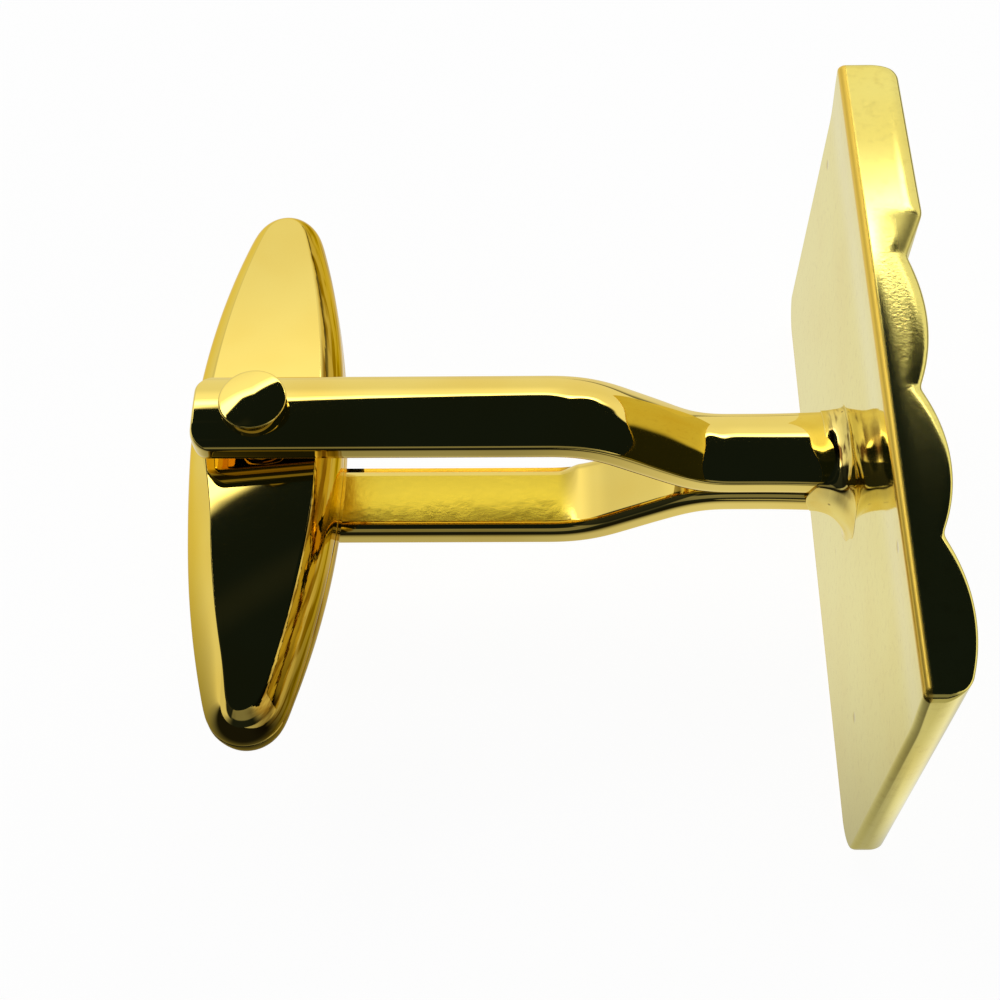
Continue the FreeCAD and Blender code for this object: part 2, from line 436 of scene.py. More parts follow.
def smooth(value: np.ndarray, low: float, high: float) -> np.ndarray:
    """Smooth step from 0 at low to 1 at high."""
    share = np.clip((np.asarray(value) - low) / (high - low), 0.0, 1.0)
    return share * share * (3.0 - 2.0 * share)


def window(value: np.ndarray, rise: Pair, fall: Pair) -> np.ndarray:
    """1 between two smooth steps and 0 outside them."""
    return smooth(value, *rise) * (1.0 - smooth(value, *fall))


def cosine(count: int) -> np.ndarray:
    """Steps from 0 to 1 that are fine near 0."""
    return 1.0 - np.cos(np.linspace(0.0, math.pi / 2, count))


def round_drop(distance: np.ndarray, radius: float) -> np.ndarray:
    """Depth of a round edge at a distance in from it."""
    left = np.clip(radius - distance, 0.0, radius)
    return radius - np.sqrt(radius ** 2 - left ** 2)


def revolve(profile: Sequence[Pair], steps: int) -> np.ndarray:
    """Rows of points round the Z axis, one row for each (radius, height) of the profile."""
    turn = np.linspace(0.0, 2 * math.pi, steps, endpoint=False)
    circle = np.stack([np.cos(turn), np.sin(turn), np.zeros(steps)], axis=1)
    return np.array([circle * radius + (0.0, 0.0, height) for radius, height in profile])


def circle_x(y: np.ndarray, points: Sequence[Pair]) -> np.ndarray:
    """Height of the circle through three (y, x) points.

    Args:
        y: places to read it at.
        points: three points of the circle.

    Returns:
        x on the circle's upper arc.
    """
    (a, b), (c, d), (e, f) = points
    matrix = np.array([[2 * (c - a), 2 * (d - b)], [2 * (e - a), 2 * (f - b)]])
    right = np.array([c * c - a * a + d * d - b * b, e * e - a * a + f * f - b * b])
    middle_y, middle_x = np.linalg.solve(matrix, right)
    radius = math.hypot(a - middle_y, b - middle_x)
    return middle_x + np.sqrt(np.maximum(radius ** 2 - (y - middle_y) ** 2, 0.0))


def new_tree(name: str, inputs: dict[str, str], output: str) -> tuple[Board, dict[str, Field]]:
    """Start a geometry node tree.

    Args:
        name: name of the tree.
        inputs: type of each input, by its name.
        output: name of the geometry that it gives.

    Returns:
        The board to write it on, and its inputs as fields.
    """
    tree = bpy.data.node_groups.new(name, "GeometryNodeTree")
    for label, kind in inputs.items():
        tree.interface.new_socket(label, in_out="INPUT", socket_type="NodeSocket" + kind)
    tree.interface.new_socket(output, in_out="OUTPUT", socket_type="NodeSocketGeometry")
    board = Board(tree)
    first = board.node("NodeGroupInput")
    return board, {label: first.sibling(label) for label in inputs}


def apply_tree(source: bpy.types.Object, tree: bpy.types.NodeTree, values: dict[str, Any],
               name: str) -> bpy.types.Object:
    """Run geometry nodes on an object and keep the result as a plain mesh.

    Args:
        source: object that the tree starts from; it is removed.
        tree: geometry node tree; it is removed.
        values: values of its named inputs.
        name: name of the new piece.

    Returns:
        The new object.
    """
    modifier = source.modifiers.new("nodes", "NODES")
    modifier.node_group = tree
    for item in tree.interface.items_tree:
        if item.in_out == "INPUT" and item.name in values:
            modifier[item.identifier] = values[item.name]
    bpy.context.view_layer.update()
    ready = source.evaluated_get(bpy.context.evaluated_depsgraph_get())
    mesh = bpy.data.meshes.new_from_object(ready)
    mesh.name = name
    source.modifiers.clear()
    bpy.data.objects.remove(source)
    bpy.data.node_groups.remove(tree)
    piece = bpy.data.objects.new(name, mesh)
    bpy.context.scene.collection.objects.link(piece)
    return piece


def dress(piece: bpy.types.Object, node: str, body: str, material: bpy.types.Material) -> None:
    """Give a piece its finish and its place in the frame.

    Args:
        piece: mesh object that stands for a node.
        node: name of the node.
        body: name of the body it moves with.
        material: finish to show.
    """
    piece.data.materials.clear()
    piece.data.materials.append(material)
    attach(piece, body)
    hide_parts(node)
    LOG.info("%s stands for %s: %d faces", piece.name, node, len(piece.data.polygons))


@dataclass
class FacePlate:
    """Plate with a flat back and a front of one land, one lip and a row of scallops."""

    length: float = 18.0
    width: float = 10.5
    land_thickness: float = 1.44
    land_length: float = 5.05
    lip_rise: float = 0.05
    lip_run: float = 1.3
    lip_foot: float = 0.95
    scallop_count: int = 3
    scallop_crest: float = 1.22
    scallop_valley: float = 0.79
    upper_corner: float = 0.25
    lower_corner: float = 1.1
    back_radius: float = 0.17
    back_lip: float = 0.1
    back_lip_run: float = 2.2
    front_run: float = 0.5
    front_drop: float = 0.22
    end_front_radius: float = 0.5
    edge_fit_share: float = 0.94
    crease_soft: float = 0.09
    crease_span: float = 3.0
    crease_samples: int = 8
    kernel_span: int = 4
    end_margin: float = 1.0
    least_step: float = 4e-4
    end_stations: int = 14
    crease_stations: int = 19
    body_stations: int = 180
    turn_steps: int = 15
    wide_steps: int = 25
    wear_y: Pair = (-5.0, 1.5)
    wear_least_share: float = 0.4
    lip_wear_from: Pair = (2.0, 2.9)
    lip_wear_to: Pair = (3.4, 5.0)
    lip_wear_loss_share: float = 0.1
    matt_x: Pair = (0.1, 0.5)
    matt_from: Pair = (-6.0, 0.0)
    matt_to: Pair = (3.7, 4.2)
    lip_matt_x: Pair = (0.6, 0.9)
    lip_matt_from: Pair = (2.4, 2.8)
    lip_matt_to: Pair = (3.8, 4.0)
    lip_matt_gain: float = 2.2

    @property
    def half(self) -> float:
        """Half of the plate's length."""
        return self.length / 2

    @property
    def lip_y(self) -> float:
        """Place of the lip."""
        return self.half - self.land_length

    @property
    def foot_y(self) -> float:
        """Place of the lip's foot, where the scallops start."""
        return self.lip_y - self.lip_run

    @property
    def pitch(self) -> float:
        """Length of one scallop."""
        return (self.foot_y + self.half) / self.scallop_count

    def front(self, y: np.ndarray) -> np.ndarray:
        """Height of the front over the back, with its creases softened.

        Args:
            y: places along the plate.

        Returns:
            x of the front at each place.
        """
        reach = self.half + self.end_margin
        places = np.arange(-reach, reach, self.crease_soft / self.crease_samples)
        span = self.crease_samples * self.kernel_span
        kernel = np.exp(-0.5 * (np.arange(-span, span + 1) / self.crease_samples) ** 2)
        inner = np.clip(places, -self.half, self.half)
        padded = np.pad(self.sharp_front(inner), span, mode="edge")
        soft = np.convolve(padded, kernel / kernel.sum(), mode="valid")
        return np.interp(y, places, soft)

    def sharp_front(self, y: np.ndarray) -> np.ndarray:
        """Height of the front over the back with sharp creases.

        Args:
            y: places along the plate.

        Returns:
            x of the front at each place.
        """
        lip_x = self.land_thickness + self.lip_rise
        heights = [self.lip_foot, lip_x, self.land_thickness]
        result = np.interp(y, [self.foot_y, self.lip_y, self.half], heights)
        for number in range(self.scallop_count):
            low = number * self.pitch - self.half
            high = low + self.pitch
            end = self.lip_foot if number == self.scallop_count - 1 else self.scallop_valley
            points = [(low, self.scallop_valley), (low + self.pitch / 2, self.scallop_crest), (high, end)]
            result = np.where((y >= low) & (y < high), circle_x(y, points), result)
        return result

    def stations(self) -> np.ndarray:
        """Places along the plate where its section is taken, close together at edges and creases."""
        half = self.half
        radii = (self.back_radius, self.end_front_radius, self.upper_corner, self.lower_corner)
        ends = np.unique(np.concatenate([cosine(self.end_stations) * radius for radius in radii]))
        creases = [self.foot_y - number * self.pitch for number in range(self.scallop_count)] + [self.lip_y]
        around = np.linspace(-self.crease_span, self.crease_span, self.crease_stations) * self.crease_soft
        fine = [crease + step for crease in creases for step in around]
        body = np.linspace(self.end_margin - half, half - self.end_margin, self.body_stations)
        every = np.unique(np.round(np.concatenate([ends - half, half - ends, fine, body]), 5))
        every = every[np.abs(every) <= half]
        keep = np.concatenate([[True], np.diff(every) > self.least_step])
        return every[keep]

    def wear(self, y: float) -> float:
        """How far polishing has rounded the front edge: less on the lip and towards the last scallop."""
        along = self.wear_least_share + (1.0 - self.wear_least_share) * float(smooth(y, *self.wear_y))
        lip = float(window(y, self.lip_wear_from, self.lip_wear_to))
        return along * (1.0 - self.lip_wear_loss_share * lip)

    def section(self, y: float) -> np.ndarray:
        """Closed outline of the plate across one place.

        Args:
            y: the place along the plate.

        Returns:
            Points of the outline, each with x, y and z.
        """
        away = np.array(self.half - abs(y))
        back = float(round_drop(away, self.back_radius))
        front = float(self.front(np.array([y]))[0] - round_drop(away, self.end_front_radius))
        top = self.width / 2 - float(round_drop(away, self.upper_corner))
        low = float(round_drop(away, self.lower_corner)) - self.width / 2
        points: list[Pair] = []

        def run(start: Pair, end: Pair, shares: Sequence[float]) -> None:
            """Add points on a straight line."""
            points.extend(tuple(a + (b - a) * share for a, b in zip(start, end)) for share in shares)

        def turn(x: float, z: float, radii: Pair, start: float) -> None:
            """Add points on a quarter of an ellipse."""
            for angle in start + np.linspace(0.0, math.pi / 2, self.turn_steps):
                points.append((x + radii[0] * math.cos(angle), z + radii[1] * math.sin(angle)))

        fit = min(1.0, self.edge_fit_share * (front - back) / (self.back_radius + self.front_run))
        worn = fit * self.wear(y)
        rb, fx, fz = self.back_radius * fit, self.front_run * worn, self.front_drop * worn
        wide_shares = [0.004, 0.02, *np.linspace(0.05, 0.95, self.wide_steps), 0.98, 0.996]
        wall_shares = [0.04, 0.15, 0.5, 0.85, 0.96]
        run((back, top - rb), (back, low + rb), wide_shares)
        turn(back + rb, low + rb, (rb, rb), math.pi)
        run((back + rb, low), (front - fx, low), wall_shares)
        turn(front - fx, low + fz, (fx, fz), 1.5 * math.pi)
        run((front, low + fz), (front, top - fz), wide_shares)
        turn(front - fx, top - fz, (fx, fz), 0.0)
        run((front - fx, top), (back + rb, top), wall_shares)
        turn(back + rb, top - rb, (rb, rb), 0.5 * math.pi)
        x, z = np.array(points).T
        lift = self.back_lip * smooth(z, self.width / 2 - self.back_lip_run, self.width / 2)
        x = x - lift * (1.0 - np.clip((x - back) / (front - back), 0.0, 1.0))
        return np.stack([x, np.full_like(x, y), z], axis=1)

    def build(self, material: bpy.types.Material) -> None:
        """Make and dress the plate.

        Args:
            material: finish of the plate.
        """
        rows = np.array([self.section(y) for y in self.stations()])
        x, y = rows[:, :, 0], rows[:, :, 1]
        matt = smooth(x, *self.matt_x) * window(y, self.matt_from, self.matt_to)
        lip = smooth(x, *self.lip_matt_x) * window(y, self.lip_matt_from, self.lip_matt_to)
        piece = loft("plate", rows, caps=True, grain=matt * (1.0 + self.lip_matt_gain * lip))
        weld(piece)
        dress(piece, "face_plate", FORK_BODY, material)


@dataclass
class Fork:
    """Two crowned leaves that lie together as the post and open into the arms."""

    pivot: float = PIVOT
    width: float = 2.2
    thickness: float = 0.9
    crown_drop: float = 0.28
    crown_power: float = 3.0
    edge_round: float = 0.06
    edge_band: float = 0.1
    edge_points: int = 24
    middle_points: int = 41
    wall_points: int = 4
    inner_radius: float = 0.32
    inner_bow: float = 0.08
    inner_shift: float = 0.9
    arm_inner: float = 1.75
    arm_end: float = 16.6
    corner: float = 0.55
    corner_fade_share: float = 1.6
    end_run: float = 0.1
    end_points: int = 18
    near_run: float = 0.6
    near_points: int = 16
    strip_points: int = 420
    struck_start: Pair = (0.5, 1.6)
    struck_fade: float = 0.6
    bend_distance: float = 6.83
    bend_points: int = 100
    post_length: float = 3.93
    post_lean: float = 0.035
    post_lean_start: float = 1.6
    post_lean_end: float = 0.2
    arm_bend: float = 2.0
    post_bend: float = 2.2
    foot_run: float = 2.4
    foot_flare: float = 0.08
    rivet: float = 1.3
    rivet_steps: int = 96
    pin_overlap: float = 0.1
    pin_rows: int = 9
    head: float = 1.7
    head_rim: float = 0.36
    head_dome: float = 0.05
    head_dome_rows: int = 24
    head_lean: Pair = (-0.02, -0.02)
    head_edge: float = 0.05
    head_edge_rows: int = 9
    head_edge_clear: float = 0.02
    head_overhang: float = 0.05
    solder_climb: float = 0.6
    solder_reach: float = 0.3
    solder_thin_share: float = 0.6
    solder_flare: float = 0.8
    solder_flare_climb_share: float = 0.6
    solder_lobe_power: int = 4
    solder_sink: float = 0.006
    solder_lift: float = 0.0005
    solder_wall: float = 0.05
    solder_lumps: float = 0.02
    solder_lump_scale: float = 0.7
    solder_lump_turns: float = 1.6
    solder_side_points: int = 24
    solder_rows: int = 48
    solder_passes: int = 12

    @property
    def half(self) -> float:
        """Half of the leaf's width."""
        return self.width / 2

    @property
    def edge_height(self) -> float:
        """Height of the wall at the leaf's edge."""
        return self.thickness - self.crown_drop - self.edge_round

    def top(self, y: np.ndarray) -> np.ndarray:
        """Height of the leaf's outer face over its inner face, across the leaf."""
        crown = self.crown_drop * (np.abs(y) / self.half) ** self.crown_power
        return self.thickness - crown - round_drop(self.half - np.abs(y), self.edge_round)

    def across(self) -> np.ndarray:
        """Places across the leaf, from one edge to the other, fine at both edges."""
        edge = self.half - cosine(self.edge_points) * (self.inner_radius + self.edge_band)
        middle = np.linspace(edge[-1], -edge[-1], self.middle_points)[1:-1]
        return np.concatenate([edge, middle, -edge[::-1]])

    def sides(self, low: float, count: int) -> tuple[np.ndarray, np.ndarray]:
        """Walls of a section as (y, height).

        Args:
            low: height where they end.
            count: points on each.

        Returns:
            The left wall downward and the right wall upward.
        """
        wall = np.linspace(self.edge_height, low, count + 2)[1:-1]
        left = np.stack([np.full(count, -self.half), wall], axis=1)
        right = np.stack([np.full(count, self.half), wall[::-1]], axis=1)
        return left, right

    def section(self) -> np.ndarray:
        """Closed outline of the leaf as (y, height) from its outer face round to its inner face."""
        y = self.across()
        left, right = self.sides(self.inner_radius, self.wall_points)
        upper = np.stack([y, self.top(y)], axis=1)
        lower = np.stack([y, round_drop(self.half - np.abs(y), self.inner_radius)], axis=1)[::-1]
        return np.concatenate([upper, left, lower, right])

    def inside(self) -> np.ndarray:
        """1 for the points of the section on the leaf's inner face and 0 for the others."""
        y = self.across()[::-1]
        flat = np.abs(y) < self.half - self.inner_radius
        wall = np.zeros(self.wall_points)
        return np.concatenate([np.zeros(len(y)), wall, flat.astype(float), wall])

    def bow(self, y: np.ndarray) -> np.ndarray:
        """Hollow that striking leaves in the inner face of an arm, across the leaf."""
        return self.inner_bow * ((y + self.inner_shift) / self.half) ** 2

    def route(self, side: int) -> np.ndarray:
        """Inner face line of a leaf, with both of its bends eased.

        Args:
            side: 1 for the upper leaf, -1 for the lower one.

        Returns:
            Points (x, y, z) from the arm's end to the plate.
        """
        count = self.bend_points
        run = self.bend_distance - self.post_length
        fall = math.atan2(self.arm_inner, run)
        ease = smooth((np.arange(count) + 0.5) / count, 0.0, 1.0) * fall
        reach = [np.mean(np.sin(ease)) * bend / math.sin(fall) for bend in (self.arm_bend, self.post_bend)]
        slope = math.hypot(run, self.arm_inner) - sum(reach)
        arm, post = self.arm_end - self.bend_distance - reach[0], self.post_length - reach[1]
        lengths = [arm, self.arm_bend, slope, self.post_bend, post]
        heading = np.concatenate([np.zeros(count), ease, np.full(count, fall), ease[::-1], np.zeros(count)])
        size = np.repeat(np.array(lengths) / count, count)
        x = np.concatenate([[0.0], np.cumsum(np.cos(heading) * size)]) - self.arm_end
        z = self.arm_inner - np.concatenate([[0.0], np.cumsum(np.sin(heading) * size)])
        return np.stack([x - x[-1], np.zeros_like(x), side * (z - z[-1])], axis=1)

    def route_length(self) -> float:
        """Length of a leaf along its inner face line."""
        return float(np.linalg.norm(np.diff(self.route(1), axis=0), axis=1).sum())

    def strip(self, name: str, struck: float) -> bpy.types.Object:
        """Straight leaf along +X before it is bent.

        Args:
            name: name of the object.
            struck: 1 if striking left its arm's inner face hollow and matt, or 0.

        Returns:
            The leaf with its rounded end and its wider foot.
        """
        outline, inside = self.section(), self.inside()
        length = self.route_length()
        tip = cosine(self.end_points) * self.end_run
        near = self.end_run + cosine(self.near_points)[1:] * self.near_run
        rest = np.linspace(near[-1], length, self.strip_points)[1:]
        arm = self.arm_end - self.bend_distance
        post = length - self.post_length
        middle = (self.edge_height + self.inner_radius) / 2
        rows, grain = [], []
        for index, s in enumerate(np.concatenate([[0.0], tip, near, rest])):
            y, height = outline[:, 0].copy(), outline[:, 1].copy()
            straight = struck * float(1.0 - smooth(s, arm - self.struck_fade, arm))
            height += self.bow(y) * straight * (height < self.inner_radius)
            lean = self.post_lean * float(smooth(s, post - self.post_lean_start, post - self.post_lean_end))
            height -= lean * y * height / self.thickness
            rise = math.sqrt(max(0.0, 1.0 - (1.0 - min(s / self.end_run, 1.0)) ** 2))
            target = np.clip(height, self.inner_radius, self.edge_height)
            if index == 0:
                target = np.full_like(height, middle)
            height = target + (height - target) * rise
            beyond = np.clip(np.abs(y) - (self.half - self.corner), 0.0, self.corner)
            shift = self.corner - np.sqrt(np.maximum(self.corner ** 2 - beyond ** 2, 0.0))
            shift *= max(0.0, 1.0 - s / (self.corner_fade_share * self.corner))
            foot = max(0.0, 1.0 - (length - s) / self.foot_run)
            y *= 1.0 + self.foot_flare / self.half * foot ** 2
            rows.append(np.stack([s + shift, y, height], axis=1))
            grain.append(inside * straight * float(smooth(s, *self.struck_start)))
        return loft(name, np.array(rows), caps=True, grain=np.array(grain))

    @staticmethod
    def bend_tree() -> bpy.types.NodeTree:
        """Geometry nodes that lay a straight strip along the leaf's route."""
        board, given = new_tree("leaf_bend", {
            "Strip": "Geometry", "Route": "Object", "Side": "Float", "Finish": "Material"}, "Leaf")
        route = board.node("GeometryNodeObjectInfo", None, {"Object": given["Route"]}, "Geometry")
        along, across, height = board.axes(board.node("GeometryNodeInputPosition"))
        point = board.node("GeometryNodeSampleCurve", {"mode": "LENGTH", "use_all_curves": True}, {
            "Curves": route, "Length": along}, "Position")
        outward = board.vector("CROSS_PRODUCT", point.sibling("Tangent"), (0.0, 1.0, 0.0))
        rise = board.scaled(outward, height * given["Side"])
        aside = board.node("ShaderNodeCombineXYZ", None, {"Y": across})
        place = board.vector("ADD", board.vector("ADD", point, rise), aside)
        leaf = board.node("GeometryNodeSetPosition", None, {"Geometry": given["Strip"], "Position": place})
        return board.close(leaf, given["Finish"])

    def leaf(self, name: str, side: int, material: bpy.types.Material) -> bpy.types.Object:
        """Make one leaf of the fork.

        Args:
            name: name of the piece.
            side: 1 for the upper leaf, -1 for the lower one.
            material: finish of the leaf.

        Returns:
            The leaf as a plain mesh object.
        """
        strip = self.strip(name + "_strip", float(side < 0))
        path = bpy.data.curves.new("leaf_route", "CURVE")
        path.dimensions = "3D"
        spline = path.splines.new("POLY")
        places = self.route(side) * MM
        spline.points.add(len(places) - 1)
        for point, place in zip(spline.points, places):
            point.co = (*place, 1.0)
        guide = bpy.data.objects.new("leaf_route", path)
        bpy.context.scene.collection.objects.link(guide)
        values = {"Route": guide, "Side": float(side), "Finish": material}
        piece = apply_tree(strip, self.bend_tree(), values, name)
        bpy.data.objects.remove(guide)
        weld(piece)
        return piece

    def head_mesh(self) -> bpy.types.Object:
        """One rivet head, standing on the pivot axis over the upper arm."""
        radius, edge = self.head / 2, self.head_edge
        skirt = self.arm_inner + self.edge_height
        rim = self.arm_inner + self.thickness + self.head_rim
        sphere = (radius ** 2 + self.head_dome ** 2) / (2 * self.head_dome)
        tilt = math.asin((radius - edge) / sphere)
        top = rim + self.head_dome
        start_z = top - sphere * (1 - math.cos(tilt))
        profile = [(radius - self.head_overhang, skirt), (radius, rim - edge - self.head_edge_clear)]
        corner = (radius - edge, start_z - edge)
        for angle in np.linspace(0.0, math.pi / 2 - tilt, self.head_edge_rows):
            profile.append((corner[0] + edge * math.cos(angle), corner[1] + edge * math.sin(angle)))
        for share in np.linspace(0.96, 0.02, self.head_dome_rows):
            profile.append((sphere * math.sin(tilt * share), top - sphere * (1 - math.cos(tilt * share))))
        rows = revolve(profile, self.rivet_steps)
        rows[1:, :, 2] -= rows[1:, :, 0] * self.head_lean[0] + rows[1:, :, 1] * self.head_lean[1]
        return loft("rivet_head", rows, caps=True)

    @staticmethod
    def heads_tree() -> bpy.types.NodeTree:
        """Geometry nodes that set a head on both ends of a pin and move it to the pivot."""
        board, given = new_tree("rivet_heads", {
            "Pin": "Geometry", "Head": "Object", "Pivot": "Vector", "Finish": "Material"}, "Rivet")
        head = board.node("GeometryNodeObjectInfo", None, {"Object": given["Head"]}, "Geometry")
        ends = board.node("GeometryNodeMeshLine", {"mode": "OFFSET"}, {
            "Count": 2, "Offset": (0.0, 0.0, 0.0)})
        number = board.node("GeometryNodeInputIndex")
        spin = board.node("ShaderNodeCombineXYZ", None, {"X": number * math.pi})
        heads = board.node("GeometryNodeInstanceOnPoints", None, {
            "Points": ends, "Instance": head, "Rotation": spin})
        heads = board.node("GeometryNodeRealizeInstances", None, {"Geometry": heads})
        whole = board.node("GeometryNodeJoinGeometry", None, {0: [given["Pin"], heads]})
        whole = board.node("GeometryNodeTransform", None, {
            "Geometry": whole, "Translation": given["Pivot"]})
        return board.close(whole, given["Finish"])

    def rivet_piece(self, material: bpy.types.Material) -> bpy.types.Object:
        """Pin with a head at each end.

        Args:
            material: finish of the rivet.

        Returns:
            The rivet as a plain mesh object.
        """
        reach = self.arm_inner + self.edge_height + self.pin_overlap
        profile = [(self.rivet / 2, z) for z in np.linspace(-reach, reach, self.pin_rows)]
        pin = loft("rivet_pin", revolve(profile, self.rivet_steps), caps=True)
        head = self.head_mesh()
        values = {"Head": head, "Pivot": (-self.pivot * MM, 0.0, 0.0), "Finish": material}
        piece = apply_tree(pin, self.heads_tree(), values, "rivet")
        bpy.data.objects.remove(head)
        weld(piece)
        return piece

    def post_loop(self) -> tuple[np.ndarray, np.ndarray]:
        """Outline of the post at the plate.

        Returns:
            Its points (y, z), and the way out of it at each point.
        """
        y = self.across()
        upper = np.stack([y, self.top(y)], axis=1)
        left, right = self.sides(-self.edge_height, self.solder_side_points)
        loop = np.concatenate([upper, left, -upper, right])
        loop[:, 0] *= 1.0 + self.foot_flare / self.half
        along = np.roll(loop, -1, axis=0) - np.roll(loop, 1, axis=0)
        normal = np.stack([along[:, 1], -along[:, 0]], axis=1)
        for _ in range(self.solder_passes):
            normal = np.roll(normal, -1, axis=0) + 2 * normal + np.roll(normal, 1, axis=0)
            normal /= np.linalg.norm(normal, axis=1)[:, None]
        return loop, normal * np.sign(np.sum(normal * loop))

    def solder_piece(self) -> bpy.types.Object:
        """Wrinkled flare of solder from the post onto the plate."""
        loop, normal = self.post_loop()
        angle = np.arctan2(loop[:, 1], loop[:, 0])
        lobe = np.maximum(-np.cos(angle), 0.0) ** self.solder_lobe_power
        thin = 1.0 - self.solder_thin_share * np.maximum(np.cos(angle), 0.0) ** 2
        reach = self.solder_reach * thin + self.solder_flare * lobe
        climb = self.solder_climb + self.solder_flare_climb_share * self.solder_flare * lobe
        scale, turns = self.solder_lump_scale, self.solder_lump_turns
        rows = []
        for step in np.linspace(0.0, math.pi / 2, self.solder_rows):
            out = reach * (1.0 - math.sin(step)) - self.solder_sink
            away = climb * (1.0 - math.cos(step))
            lump = np.array([noise.noise(Vector((scale * a, scale * b, turns * step))) for a, b in loop])
            push = self.solder_lumps * math.sin(2 * step) ** 2 * lump
            ring = loop + normal * (out + push * math.sin(step))[:, None]
            x = -away - push * math.cos(step) - self.solder_lift
            rows.append(np.stack([x, ring[:, 0], ring[:, 1]], axis=1))
        inner = loop - normal * self.solder_wall
        for x in (-climb, np.full(len(loop), -self.solder_lift)):
            rows.append(np.stack([x, inner[:, 0], inner[:, 1]], axis=1))
        share = np.sin(np.linspace(0.0, math.pi, self.solder_rows))
        grain = np.outer(np.concatenate([share, [0.0, 0.0]]), np.maximum(np.sin(angle), 0.0) ** 2)
        piece = loft("solder", np.array(rows), ring=True, grain=grain)
        weld(piece)
        return piece

    def build(self, polished: bpy.types.Material, solder: bpy.types.Material) -> None:
        """Make and dress the leaves, the rivet and the solder.

        Args:
            polished: finish of the leaves and the rivet.
            solder: finish of the solder.
        """
        leaves = (("leaf_upper", "fork_leaf_upper", 1), ("leaf_lower", "fork_leaf_lower", -1))
        for name, node, side in leaves:
            dress(self.leaf(name, side, polished), node, FORK_BODY, polished)
        dress(self.rivet_piece(polished), "pivot_rivet", FORK_BODY, polished)
        dress(self.solder_piece(), "solder_fillet", FORK_BODY, solder)


